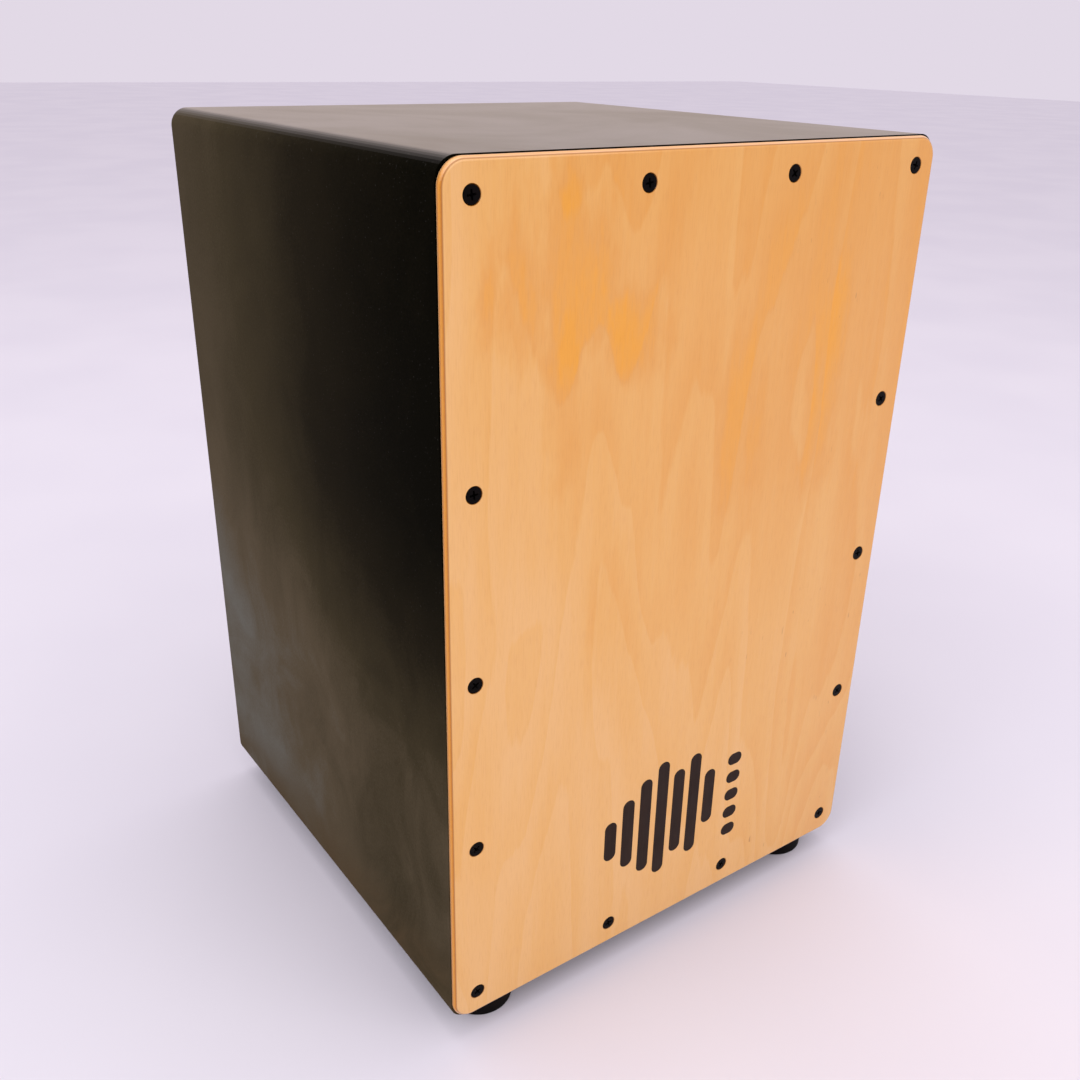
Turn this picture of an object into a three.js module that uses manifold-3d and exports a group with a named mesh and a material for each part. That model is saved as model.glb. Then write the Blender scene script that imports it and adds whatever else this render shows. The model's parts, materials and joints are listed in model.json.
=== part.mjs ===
// A cajon: a box drum with a thin plywood playing plate screwed to the front of a
// painted casing, four rubber feet, and tunable snare strings behind the plate.
// Millimetres, +Z up, the playing plate faces -Y, the origin is at floor level under
// the middle of the drum.
import * as THREE from "three";
import { mergeVertices } from "three/addons/utils/BufferGeometryUtils.js";
import Module from "manifold-3d";

const wasm = await Module();
wasm.setup();

// ---- Driving dimensions ----

const WIDTH = 300;
const DEPTH = 301;
const BOX_HEIGHT = 443;
const FOOT_HEIGHT = 15;
const FIT_GAP = 0.3;

const PANEL_T = 10;
const CASING_CORNER_R = 10;
const CASING_EDGE = 1;
const CORNER_STEPS = 8;

const PLATE_T = 3;
const PLATE_INSET = 0.6;
const PLATE_CORNER_R = 11.5;
const PLATE_EDGE_R = 2.2;

const BATTEN_W = 12;
const FRONT_BATTEN_D = 20;
const BACK_BATTEN_D = 12;

const BACK_T = 5;
const BACK_RECESS = 1;
const PORT_R = 60;
const PORT_RISE = 25;

const SCREW_EDGE = 15;
const SCREW_ROW_X = [-135, -45, 45, 135];
const SIDE_SCREW_RISES = [111, 207, 303];
const PLATE_SCREW = { headR: 4.05, rim: 0.3, coneH: 2.3, shankR: 1.75, length: 19, driveW: 4.4 };
const PLATE_SCREW_SINK = 0.2;

const FOOT_X = 119;
const FOOT_INSET_Y = 25;
const FOOT_TOP_R = 20;
const FOOT_BOTTOM_R = 19;
const FOOT_BORE_R = 2.4;
const FOOT_POCKET_R = 8;
const FOOT_POCKET_H = 8;
const WASHER_T = 1.2;
const WASHER_R = 7;
const WASHER_BOTTOM = FOOT_POCKET_H - WASHER_T;
const FOOT_SCREW = { headR: 4, rim: 2.4, coneH: 0, shankR: 1.9, length: 17, driveW: 4 };

const STRING_R = 0.5;
const STRING_BALL_R = 1.3;
const STRING_SET_BACK = 1.6;
const STRING_PAIR_X = 30;
const STRING_HALF_SPACING = 5;

const RAIL_HALF_W = 60;
const RAIL_H = 24;
const RAIL_LEDGE_Z = 6;
const RAIL_LEDGE_H = 6;
const RAIL_SCREW_X = 50;
const SLIM_SCREW = { headR: 3.2, rim: 0.3, coneH: 1.8, shankR: 1.5, length: 30, driveW: 3.6 };
const GUIDE_SCREW_LENGTH = 16;
const FELT_HALF_W = 42;

const GUIDE_HALF_W = 45;
const GUIDE_FOOT_HALF_W = 57;
const GUIDE_FOOT_H = 8;
const GUIDE_H = 40;
const GUIDE_FLOOR = 4;
const GUIDE_SCREW_X = 51;
const SLOT_D = 11;

const CARRIAGE_W = 16;
const CARRIAGE_H = 10;
const CARRIAGE_RISE = 13;
const BOLT_R = 3;
const BOLT_HEAD_R = 5;
const BOLT_HEAD_H = 6;
const BOLT_REACH = 58;
const HEX_KEY_R = 2.9;
const HEX_DEPTH = 3.5;
const BUSH_FLANGE_R = 7;
const BUSH_FLANGE_H = 1.5;
const BUSH_SLEEVE_R = 4.5;
const BUSH_SLEEVE_H = 9;

// ---- Places worked out from them ----

const FRONT_Y = -DEPTH / 2;
const REAR_Y = DEPTH / 2;
const PLATE_BACK_Y = FRONT_Y + PLATE_T;
const BOX_BOTTOM = FOOT_HEIGHT;
const BOX_TOP = FOOT_HEIGHT + BOX_HEIGHT;
const BOX_MID = (BOX_BOTTOM + BOX_TOP) / 2;
const INNER_X = WIDTH / 2 - PANEL_T;
const INNER_BOTTOM = BOX_BOTTOM + PANEL_T;
const INNER_TOP = BOX_TOP - PANEL_T;
const BACK_OUTER_Y = REAR_Y - BACK_RECESS;
const BACK_INNER_Y = BACK_OUTER_Y - BACK_T;
const BATTEN_REAR_Y = PLATE_BACK_Y + FRONT_BATTEN_D;
const STRING_Y = PLATE_BACK_Y + STRING_SET_BACK;
const LIP_FRONT_Y = PLATE_BACK_Y + FIT_GAP;
const HARDWARE_Y = PLATE_BACK_Y + 4.5;
const RAIL_TOP = INNER_TOP - BATTEN_W;
const RAIL_BOTTOM = RAIL_TOP - RAIL_H;
const LEDGE_BOTTOM = RAIL_BOTTOM + RAIL_LEDGE_Z;
const LEDGE_TOP = LEDGE_BOTTOM + RAIL_LEDGE_H;
const GUIDE_BOTTOM = INNER_BOTTOM + BATTEN_W;
const CARRIAGE_BOTTOM = GUIDE_BOTTOM + CARRIAGE_RISE;
const BOLT_Y = HARDWARE_Y + SLOT_D / 2;
const RAIL_SCREW_Y = HARDWARE_Y + 8;
const SIDES = { left: -1, right: 1 };

// ---- Materials: colour, roughness and metalness of each finish ----

const finish = (color, roughness, metalness) => () =>
  new THREE.MeshStandardMaterial({ color, roughness, metalness });
const veneer = finish(0xd9ad7c, 0.4, 0);
const blackPaint = finish(0x1d1b19, 0.55, 0);
const bareWood = finish(0xc9a676, 0.75, 0);
const blackSteel = finish(0x17171a, 0.4, 1);
const plainSteel = finish(0xb9bbbe, 0.3, 1);
const brightWire = finish(0xd2d2ce, 0.22, 1);
const brass = finish(0xb98f45, 0.35, 1);
const rubber = finish(0x121212, 0.85, 0);
const greyFelt = finish(0x6a6a68, 0.95, 0);

// ---- Shapes ----

const drum = new THREE.Group();

function place(name, geometry, material) {
  const mesh = new THREE.Mesh(geometry, material());
  mesh.name = name;
  drum.add(mesh);
}

// A closed shape as one solid; a turned shape's collapsed triangles on its axis are
// left out.
function solid(geometry) {
  const bare = geometry.clone();
  bare.deleteAttribute("normal");
  bare.deleteAttribute("uv");
  const merged = mergeVertices(bare, 1e-4);
  const index = merged.index.array;
  const kept = [];
  for (let i = 0; i < index.length; i += 3) {
    const [a, b, c] = index.slice(i, i + 3);
    if (a !== b && b !== c && c !== a) {
      kept.push(a, b, c);
    }
  }
  return new wasm.Manifold(
    new wasm.Mesh({
      numProp: 3,
      vertProperties: new Float32Array(merged.attributes.position.array),
      triVerts: new Uint32Array(kept),
    }),
  );
}

function geometryOf(manifold) {
  const mesh = manifold.getMesh();
  const geometry = new THREE.BufferGeometry();
  geometry.setAttribute("position", new THREE.BufferAttribute(mesh.vertProperties, 3));
  geometry.setIndex(new THREE.BufferAttribute(mesh.triVerts, 1));
  return geometry;
}

// A body with every tool's shape cut out of it.
function carve(body, tools) {
  const cut = tools.reduce((left, tool) => left.subtract(solid(tool)), solid(body));
  return geometryOf(cut);
}

function block(low, high) {
  const size = high.map((value, axis) => value - low[axis]);
  const middle = high.map((value, axis) => (value + low[axis]) / 2);
  return new THREE.BoxGeometry(...size).translate(...middle);
}

// Turned about Z, from [radius, height] points that run up the outside.
function turned(points, segments) {
  const profile = points.map(([radius, height]) => new THREE.Vector2(radius, height));
  return new THREE.LatheGeometry(profile, segments).rotateX(Math.PI / 2);
}

function rod(radius, bottom, top, segments) {
  return turned([[0, bottom], [radius, bottom], [radius, top], [0, top]], segments);
}

function roundedRect(width, height, radius) {
  const x = width / 2;
  const y = height / 2;
  const shape = new THREE.Shape();
  shape.moveTo(x, y - radius);
  shape.absarc(x - radius, y - radius, radius, 0, Math.PI / 2);
  shape.absarc(radius - x, y - radius, radius, Math.PI / 2, Math.PI);
  shape.absarc(radius - x, radius - y, radius, Math.PI, Math.PI * 1.5);
  shape.absarc(x - radius, radius - y, radius, Math.PI * 1.5, Math.PI * 2);
  shape.closePath();
  return shape;
}

// A rounded slab that stands upright, from its front to its back, with eased edges.
function slab(width, height, radius, front, back, edge, edgeSteps) {
  const geometry = new THREE.ExtrudeGeometry(roundedRect(width, height, radius), {
    depth: back - front - 2 * edge,
    bevelThickness: edge,
    bevelSize: edge,
    bevelOffset: -edge,
    bevelSegments: edgeSteps,
    curveSegments: CORNER_STEPS,
  });
  return geometry.rotateX(Math.PI / 2).translate(0, back - edge, BOX_MID);
}

// Half of a cross recess: a blade that narrows with depth below z = 0.
function recessBlade(width, thickness, depth, turn) {
  const square = new THREE.CylinderGeometry(width / Math.SQRT2, width / 2 / Math.SQRT2, depth, 4, 1);
  return square
    .rotateY(Math.PI / 4)
    .rotateX(Math.PI / 2)
    .scale(1, thickness / width, 1)
    .translate(0, 0, FIT_GAP - depth / 2)
    .rotateZ(turn);
}

// A screw that points down, with the top of its head at z = 0.
function screw(size) {
  const neck = -size.rim - size.coneH;
  const headFoot = size.coneH > 0 ? [] : [[size.headR, neck]];
  const body = turned(
    [
      [0, -size.length],
      [size.shankR, 2 * size.shankR - size.length],
      [size.shankR, neck],
      ...headFoot,
      [size.headR, -size.rim],
      [size.headR * 0.94, 0],
      [0, 0],
    ].filter((point, i, all) => i === 0 || point.join() !== all[i - 1].join()),
    16,
  );
  const blades = [0, Math.PI / 2].map((turn) => recessBlade(size.driveW, 0.9, 2.2, turn));
  return carve(body, blades);
}

// The hole that a sunk screw sits in, with the fitting gap all round.
function screwHole(size, above) {
  const neck = -size.rim - size.coneH;
  const bore = size.shankR + FIT_GAP;
  return turned(
    [
      [0, -size.length - FIT_GAP],
      [bore, -size.length - FIT_GAP],
      [bore, neck - FIT_GAP / 2],
      [size.headR + FIT_GAP, -size.rim],
      [size.headR + FIT_GAP, above],
      [0, above],
    ],
    16,
  );
}

// ---- The playing plate and its screws ----

const plateScrewPlaces = [
  ...SCREW_ROW_X.map((x) => ["top", x, BOX_TOP - SCREW_EDGE]),
  ...SCREW_ROW_X.map((x) => ["bottom", x, BOX_BOTTOM + SCREW_EDGE]),
  ...SIDE_SCREW_RISES.map((rise) => ["left", SCREW_ROW_X[0], BOX_BOTTOM + rise]),
  ...SIDE_SCREW_RISES.map((rise) => ["right", SCREW_ROW_X[3], BOX_BOTTOM + rise]),
];
const intoFront = (geometry, x, z) =>
  geometry.rotateX(Math.PI / 2).translate(x, FRONT_Y + PLATE_SCREW_SINK, z);
const screwHoles = plateScrewPlaces.map(([, x, z]) => intoFront(screwHole(PLATE_SCREW, 2), x, z));

function frontPlate() {
  const eased = slab(
    WIDTH - 2 * PLATE_INSET,
    BOX_HEIGHT - 2 * PLATE_INSET,
    PLATE_CORNER_R,
    FRONT_Y,
    PLATE_BACK_Y + 2 * PLATE_EDGE_R,
    PLATE_EDGE_R,
    3,
  );
  const behind = block([-WIDTH, PLATE_BACK_Y, 0], [WIDTH, REAR_Y, BOX_TOP + 1]);
  return carve(eased, [behind, ...screwHoles]);
}

place("front_plate", frontPlate(), veneer);
plateScrewPlaces.forEach(([row, x, z], i) => {
  const head = intoFront(screw(PLATE_SCREW), x, z);
  place(`plate_screw_${row}_${String(i + 1).padStart(2, "0")}`, head, blackSteel);
});

// ---- The casing: four walls cut from one rounded outline, and the back ----

const outline = slab(WIDTH, BOX_HEIGHT, CASING_CORNER_R, PLATE_BACK_Y, REAR_Y, CASING_EDGE, 2);
const footPlaces = Object.entries(SIDES).flatMap(([side, sign]) => [
  [`front_${side}`, sign * FOOT_X, FRONT_Y + FOOT_INSET_Y],
  [`rear_${side}`, sign * FOOT_X, REAR_Y - FOOT_INSET_Y],
]);
const boltXs = Object.entries(SIDES).map(([side, sign]) => [side, sign * STRING_PAIR_X]);

function wall(low, high, tools) {
  const kept = solid(outline).intersect(solid(block(low, high)));
  return geometryOf(tools.reduce((left, tool) => left.subtract(solid(tool)), kept));
}

const FOOT_SCREW_HEAD_Z = WASHER_BOTTOM - FOOT_SCREW.rim;
const FOOT_SCREW_TIP_Z = FOOT_SCREW_HEAD_Z + FOOT_SCREW.length;
const bottomHoles = [
  ...footPlaces.map(([, x, y]) =>
    rod(FOOT_SCREW.shankR + FIT_GAP, BOX_BOTTOM - 1, FOOT_SCREW_TIP_Z + FIT_GAP, 12).translate(x, y, 0)),
  ...boltXs.map(([, x]) =>
    rod(BUSH_SLEEVE_R + FIT_GAP, BOX_BOTTOM - 1, INNER_BOTTOM + 1, 16).translate(x, BOLT_Y, 0)),
];
const outerX = WIDTH / 2 + 1;
const outerY = REAR_Y + 1;
place("top_panel", wall([-outerX, -outerY, INNER_TOP], [outerX, outerY, BOX_TOP + 1], []), blackPaint);
place(
  "bottom_panel",
  wall([-outerX, -outerY, BOX_BOTTOM - 1], [outerX, outerY, INNER_BOTTOM], bottomHoles),
  blackPaint,
);
place(
  "left_side_panel",
  wall([-outerX, -outerY, INNER_BOTTOM], [-INNER_X, outerY, INNER_TOP], []),
  blackPaint,
);
place(
  "right_side_panel",
  wall([INNER_X, -outerY, INNER_BOTTOM], [outerX, outerY, INNER_TOP], []),
  blackPaint,
);

function backPanel() {
  const panel = block(
    [FIT_GAP - INNER_X, BACK_INNER_Y, INNER_BOTTOM + FIT_GAP],
    [INNER_X - FIT_GAP, BACK_OUTER_Y, INNER_TOP - FIT_GAP],
  );
  const port = rod(PORT_R, -BACK_T * 2, BACK_T * 2, 48);
  return carve(panel, [port.rotateX(Math.PI / 2).translate(0, BACK_OUTER_Y, BOX_MID + PORT_RISE)]);
}
place("back_panel", backPanel(), blackPaint);

// ---- Battens glued inside the casing ----

const railScrewPlaces = Object.entries(SIDES).map(([side, sign]) => [side, sign * RAIL_SCREW_X]);
const guideScrewPlaces = Object.entries(SIDES).map(([side, sign]) => [side, sign * GUIDE_SCREW_X]);
const guideScrew = { ...SLIM_SCREW, length: GUIDE_SCREW_LENGTH };
const upFromBelow = (geometry, x) =>
  geometry.rotateX(Math.PI).translate(x, RAIL_SCREW_Y, RAIL_BOTTOM + PLATE_SCREW_SINK);
const downFromAbove = (geometry, x) =>
  geometry.translate(x, RAIL_SCREW_Y, GUIDE_BOTTOM + GUIDE_FOOT_H - PLATE_SCREW_SINK);
const railHoles = railScrewPlaces.map(([, x]) => upFromBelow(screwHole(SLIM_SCREW, 2), x));
const guideHoles = guideScrewPlaces.map(([, x]) => downFromAbove(screwHole(guideScrew, 2), x));
const boltHoles = boltXs.map(([, x]) =>
  rod(BOLT_R + FIT_GAP, BOX_BOTTOM, GUIDE_BOTTOM + GUIDE_FLOOR + 1, 16).translate(x, BOLT_Y, 0));
const holesIn = (row) => screwHoles.filter((hole, i) => plateScrewPlaces[i][0] === row);

function crossBatten(bottom, front, back, tools) {
  return carve(block([-INNER_X, front, bottom], [INNER_X, back, bottom + BATTEN_W]), tools);
}

function uprightBatten(sign, front, back, tools) {
  const xs = [sign * INNER_X, sign * (INNER_X - BATTEN_W)].sort((a, b) => a - b);
  const low = [xs[0], front, INNER_BOTTOM + BATTEN_W];
  const high = [xs[1], back, INNER_TOP - BATTEN_W];
  return carve(block(low, high), tools);
}

place(
  "front_top_batten",
  crossBatten(RAIL_TOP, PLATE_BACK_Y, BATTEN_REAR_Y, [...holesIn("top"), ...railHoles]),
  bareWood,
);
const bottomBattenHoles = [...holesIn("bottom"), ...guideHoles, ...boltHoles];
place(
  "front_bottom_batten",
  crossBatten(INNER_BOTTOM, PLATE_BACK_Y, BATTEN_REAR_Y, bottomBattenHoles),
  bareWood,
);
const BACK_BATTEN_Y = BACK_INNER_Y - BACK_BATTEN_D;
place("back_top_batten", crossBatten(RAIL_TOP, BACK_BATTEN_Y, BACK_INNER_Y, []), bareWood);
place("back_bottom_batten", crossBatten(INNER_BOTTOM, BACK_BATTEN_Y, BACK_INNER_Y, []), bareWood);
for (const [side, sign] of Object.entries(SIDES)) {
  const front = uprightBatten(sign, PLATE_BACK_Y, BATTEN_REAR_Y, holesIn(side));
  place(`front_${side}_batten`, front, bareWood);
  place(`back_${side}_batten`, uprightBatten(sign, BACK_BATTEN_Y, BACK_INNER_Y, []), bareWood);
}

// ---- Feet, each held by a pan head screw and a washer in its pocket ----

function foot() {
  const round = 2;
  return turned(
    [
      [FOOT_POCKET_R, 0],
      [FOOT_BOTTOM_R - round, 0],
      [FOOT_BOTTOM_R - round * 0.3, round * 0.3],
      [FOOT_BOTTOM_R + round / FOOT_HEIGHT, round],
      [FOOT_TOP_R, FOOT_HEIGHT - 1],
      [FOOT_TOP_R - 1, FOOT_HEIGHT],
      [FOOT_BORE_R, FOOT_HEIGHT],
      [FOOT_BORE_R, FOOT_POCKET_H],
      [FOOT_POCKET_R, FOOT_POCKET_H],
      [FOOT_POCKET_R, 0],
    ],
    24,
  );
}

function ring(innerR, outerR, bottom, top, segments) {
  const corners = [[innerR, bottom], [outerR, bottom], [outerR, top], [innerR, top]];
  return turned([...corners, corners[0]], segments);
}

for (const [corner, x, y] of footPlaces) {
  const washer = ring(FOOT_BORE_R, WASHER_R, WASHER_BOTTOM, FOOT_POCKET_H, 16);
  const held = screw(FOOT_SCREW).rotateX(Math.PI).translate(x, y, FOOT_SCREW_HEAD_Z);
  place(`foot_${corner}`, foot().translate(x, y, 0), rubber);
  place(`foot_washer_${corner}`, washer.translate(x, y, 0), plainSteel);
  place(`foot_screw_${corner}`, held, blackSteel);
}

// ---- Snare: anchor rail, strings, carriages, guide and tuning bolts ----

const stringXs = boltXs.flatMap(([side, x]) => [
  [`${side}_outer`, x + SIDES[side] * STRING_HALF_SPACING],
  [`${side}_inner`, x - SIDES[side] * STRING_HALF_SPACING],
]);
const stringBores = (bottom, top) =>
  stringXs.map(([, x]) => rod(STRING_R + FIT_GAP, bottom, top, 10).translate(x, STRING_Y, 0));

function anchorRail() {
  const bar = block([-RAIL_HALF_W, HARDWARE_Y, RAIL_BOTTOM], [RAIL_HALF_W, BATTEN_REAR_Y, RAIL_TOP]);
  const ledge = block(
    [-RAIL_HALF_W, LIP_FRONT_Y, LEDGE_BOTTOM],
    [RAIL_HALF_W, HARDWARE_Y + 1, LEDGE_TOP],
  );
  const whole = geometryOf(solid(bar).add(solid(ledge)));
  return carve(whole, [...railHoles, ...stringBores(LEDGE_BOTTOM - 1, LEDGE_TOP + 1)]);
}

function guideBlock() {
  const base = block(
    [-GUIDE_FOOT_HALF_W, HARDWARE_Y, GUIDE_BOTTOM],
    [GUIDE_FOOT_HALF_W, BATTEN_REAR_Y, GUIDE_BOTTOM + GUIDE_FOOT_H],
  );
  const tower = block(
    [-GUIDE_HALF_W, HARDWARE_Y, GUIDE_BOTTOM],
    [GUIDE_HALF_W, BATTEN_REAR_Y, GUIDE_BOTTOM + GUIDE_H],
  );
  const halfSlot = CARRIAGE_W / 2 + FIT_GAP;
  const slots = boltXs.map(([, x]) =>
    block(
      [x - halfSlot, HARDWARE_Y - 1, GUIDE_BOTTOM + GUIDE_FLOOR],
      [x + halfSlot, HARDWARE_Y + SLOT_D, GUIDE_BOTTOM + GUIDE_H + 1],
    ));
  return carve(geometryOf(solid(base).add(solid(tower))), [...slots, ...boltHoles, ...guideHoles]);
}

// A block that slides in the guide, threaded on the bolt, with a lip for two strings.
function carriage(x) {
  const top = CARRIAGE_BOTTOM + CARRIAGE_H;
  const body = block(
    [x - CARRIAGE_W / 2, LIP_FRONT_Y, CARRIAGE_BOTTOM],
    [x + CARRIAGE_W / 2, HARDWARE_Y + SLOT_D - FIT_GAP, top],
  );
  const bore = rod(BOLT_R + FIT_GAP, CARRIAGE_BOTTOM - 1, top + 1, 16).translate(x, BOLT_Y, 0);
  return carve(body, [bore, ...stringBores(CARRIAGE_BOTTOM - 1, top + 1)]);
}

// A hex socket cap bolt that points up, turned from below.
function tuningBolt() {
  const headTop = BOX_BOTTOM - BUSH_FLANGE_H;
  const headBottom = headTop - BOLT_HEAD_H;
  const body = turned(
    [
      [0, headBottom],
      [BOLT_HEAD_R - 0.5, headBottom],
      [BOLT_HEAD_R, headBottom + 0.5],
      [BOLT_HEAD_R, headTop],
      [BOLT_R, headTop],
      [BOLT_R, headTop + BOLT_REACH - 1],
      [BOLT_R - 1, headTop + BOLT_REACH],
      [0, headTop + BOLT_REACH],
    ],
    20,
  );
  return carve(body, [rod(HEX_KEY_R, headBottom - 1, headBottom + HEX_DEPTH, 6)]);
}

// A plain bush in the bottom panel that the bolt turns in, with its flange below.
function boltBush() {
  const bore = BOLT_R + FIT_GAP;
  return turned(
    [
      [bore, BOX_BOTTOM - BUSH_FLANGE_H],
      [BUSH_FLANGE_R, BOX_BOTTOM - BUSH_FLANGE_H],
      [BUSH_FLANGE_R, BOX_BOTTOM],
      [BUSH_SLEEVE_R, BOX_BOTTOM],
      [BUSH_SLEEVE_R, BOX_BOTTOM + BUSH_SLEEVE_H],
      [bore, BOX_BOTTOM + BUSH_SLEEVE_H],
      [bore, BOX_BOTTOM - BUSH_FLANGE_H],
    ],
    16,
  );
}

// A straight steel string with a ball at each end, held above the rail's ledge and
// below the carriage's lip.
function snareString() {
  const ball = (middle) =>
    [-90, -45, 0, 45, 90].map((degrees) => {
      const turn = THREE.MathUtils.degToRad(degrees);
      return [STRING_BALL_R * Math.cos(turn), middle + STRING_BALL_R * Math.sin(turn)];
    });
  const low = ball(CARRIAGE_BOTTOM - STRING_BALL_R);
  const high = ball(LEDGE_TOP + STRING_BALL_R);
  const waist = [[STRING_R, CARRIAGE_BOTTOM], [STRING_R, LEDGE_TOP]];
  const ends = [[0, low[0][1]], [0, high[4][1]]];
  return turned([ends[0], ...low.slice(1, -1), ...waist, ...high.slice(1, -1), ends[1]], 8);
}

const feltFront = STRING_Y + STRING_R + FIT_GAP;
place("string_anchor_rail", anchorRail(), bareWood);
place(
  "string_felt",
  block([-FELT_HALF_W, feltFront, RAIL_BOTTOM], [FELT_HALF_W, HARDWARE_Y, LEDGE_BOTTOM - FIT_GAP]),
  greyFelt,
);
for (const [side, x] of railScrewPlaces) {
  place(`rail_screw_${side}`, upFromBelow(screw(SLIM_SCREW), x), blackSteel);
}
for (const [name, x] of stringXs) {
  place(`snare_string_${name}`, snareString().translate(x, STRING_Y, 0), brightWire);
}
place("carriage_guide", guideBlock(), bareWood);
for (const [side, x] of guideScrewPlaces) {
  place(`guide_screw_${side}`, downFromAbove(screw(guideScrew), x), blackSteel);
}
for (const [side, x] of boltXs) {
  place(`tuning_carriage_${side}`, carriage(x), brass);
  place(`tuning_bolt_${side}`, tuningBolt().translate(x, BOLT_Y, 0), blackSteel);
  place(`tuning_bush_${side}`, boltBush().translate(x, BOLT_Y, 0), plainSteel);
}

export default drum;
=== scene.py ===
"""The looks of the cajon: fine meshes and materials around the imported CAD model."""

import json
import math
import random

import bmesh
import bpy
from mathutils import Matrix, Vector


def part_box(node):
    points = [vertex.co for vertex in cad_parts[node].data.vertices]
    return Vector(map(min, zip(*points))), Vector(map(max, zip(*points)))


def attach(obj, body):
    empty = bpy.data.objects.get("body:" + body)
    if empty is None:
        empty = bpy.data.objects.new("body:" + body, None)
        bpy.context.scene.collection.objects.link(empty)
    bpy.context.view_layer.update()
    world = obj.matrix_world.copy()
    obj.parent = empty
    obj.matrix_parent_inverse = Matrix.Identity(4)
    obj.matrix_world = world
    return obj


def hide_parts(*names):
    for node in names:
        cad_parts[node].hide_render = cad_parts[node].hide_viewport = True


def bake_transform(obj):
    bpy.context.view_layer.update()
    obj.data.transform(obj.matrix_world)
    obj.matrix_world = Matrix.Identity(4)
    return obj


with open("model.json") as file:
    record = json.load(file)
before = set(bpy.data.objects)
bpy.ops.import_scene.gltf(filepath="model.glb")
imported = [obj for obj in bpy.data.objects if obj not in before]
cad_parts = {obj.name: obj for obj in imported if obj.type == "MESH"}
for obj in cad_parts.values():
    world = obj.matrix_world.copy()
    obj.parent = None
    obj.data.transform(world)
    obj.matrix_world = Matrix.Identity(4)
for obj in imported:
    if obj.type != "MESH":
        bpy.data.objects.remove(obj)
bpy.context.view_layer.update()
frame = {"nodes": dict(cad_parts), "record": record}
CASING = "casing"
MM = 0.001
rng = random.Random(7)

# ---- Sizes read from the frame ----

plate_low, plate_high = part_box("front_plate")
top_low, top_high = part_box("top_panel")
bottom_low, bottom_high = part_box("bottom_panel")
back_low, back_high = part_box("back_panel")

FRONT_Y = plate_low.y
PLATE_BACK_Y = plate_high.y
REAR_Y = top_high.y
HALF_W = top_high.x
BOX_TOP = top_high.z
BOX_BOTTOM = bottom_low.z
INNER_TOP = top_low.z
INNER_BOTTOM = bottom_high.z
INNER_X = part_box("right_side_panel")[0].x
MID_Z = (BOX_TOP + BOX_BOTTOM) / 2
PLATE_T = PLATE_BACK_Y - FRONT_Y
CORNER_R = BOX_TOP - INNER_TOP

PLATE_SCREWS = sorted(n for n in frame["nodes"] if n.startswith("plate_screw"))
FEET = ("front_left", "front_right", "rear_left", "rear_right")


def middle(node):
    low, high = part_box(node)
    return (low + high) / 2


def over(node):
    """The shift that takes the Z axis to a node's middle."""
    at = middle(node)
    return Matrix.Translation((at.x, at.y, 0))


# ---- Mesh building ----


def new_object(name, bm, materials, sharp_degrees=35, weighted=True):
    """An object from a bmesh, with smooth faces that break at sharp edges."""
    bmesh.ops.recalc_face_normals(bm, faces=bm.faces)
    mesh = bpy.data.meshes.new(name)
    bm.to_mesh(mesh)
    bm.free()
    mesh.polygons.foreach_set("use_smooth", [True] * len(mesh.polygons))
    mesh.set_sharp_from_angle(angle=math.radians(sharp_degrees))
    obj = bpy.data.objects.new(name, mesh)
    bpy.context.scene.collection.objects.link(obj)
    for material in materials:
        mesh.materials.append(material)
    if weighted:
        modifier = obj.modifiers.new("even_shading", "WEIGHTED_NORMAL")
        modifier.keep_sharp = True
        modifier.weight = 80
    return obj


def loft(loops, closed=False):
    """A bmesh of quads between loops of points, with flat ends unless it closes on itself."""
    bm = bmesh.new()
    rings = [[bm.verts.new(point) for point in loop] for loop in loops]
    count = len(rings[0])
    pairs = list(zip(rings, rings[1:]))
    if closed:
        pairs.append((rings[-1], rings[0]))
    for lower, upper in pairs:
        for i in range(count):
            j = (i + 1) % count
            bm.faces.new((lower[i], lower[j], upper[j], upper[i]))
    if not closed:
        bm.faces.new(rings[0])
        bm.faces.new(rings[-1])
    return bm


def circle(radius, height, segments):
    steps = (2 * math.pi * i / segments for i in range(segments))
    return [(radius * math.cos(t), radius * math.sin(t), height) for t in steps]


def turned(profile, segments, closed=False):
    """A lathe shape about Z from (radius, height) pairs."""
    return loft([circle(radius, height, segments) for radius, height in profile], closed)


def arc(centre, radius, start, end, steps):
    """Points (a, b) along an arc, with its angles in degrees."""
    turns = (math.radians(start + (end - start) * i / steps) for i in range(steps + 1))
    return [(centre[0] + radius * math.cos(t), centre[1] + radius * math.sin(t)) for t in turns]


def rounded_rect(half_w, half_h, radius, steps):
    x, z = half_w - radius, half_h - radius
    corners = [((x, z), 0), ((-x, z), 90), ((-x, -z), 180), ((x, -z), 270)]
    return [p for centre, start in corners for p in arc(centre, radius, start, start + 90, steps)]


def placed(bm, matrix):
    bmesh.ops.transform(bm, matrix=matrix, verts=bm.verts)
    return bm


def merged(parts):
    """One bmesh from several, which it uses up."""
    whole = bmesh.new()
    for part in parts:
        mesh = bpy.data.meshes.new("part")
        part.to_mesh(mesh)
        part.free()
        whole.from_mesh(mesh)
        bpy.data.meshes.remove(mesh)
    return whole


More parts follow.
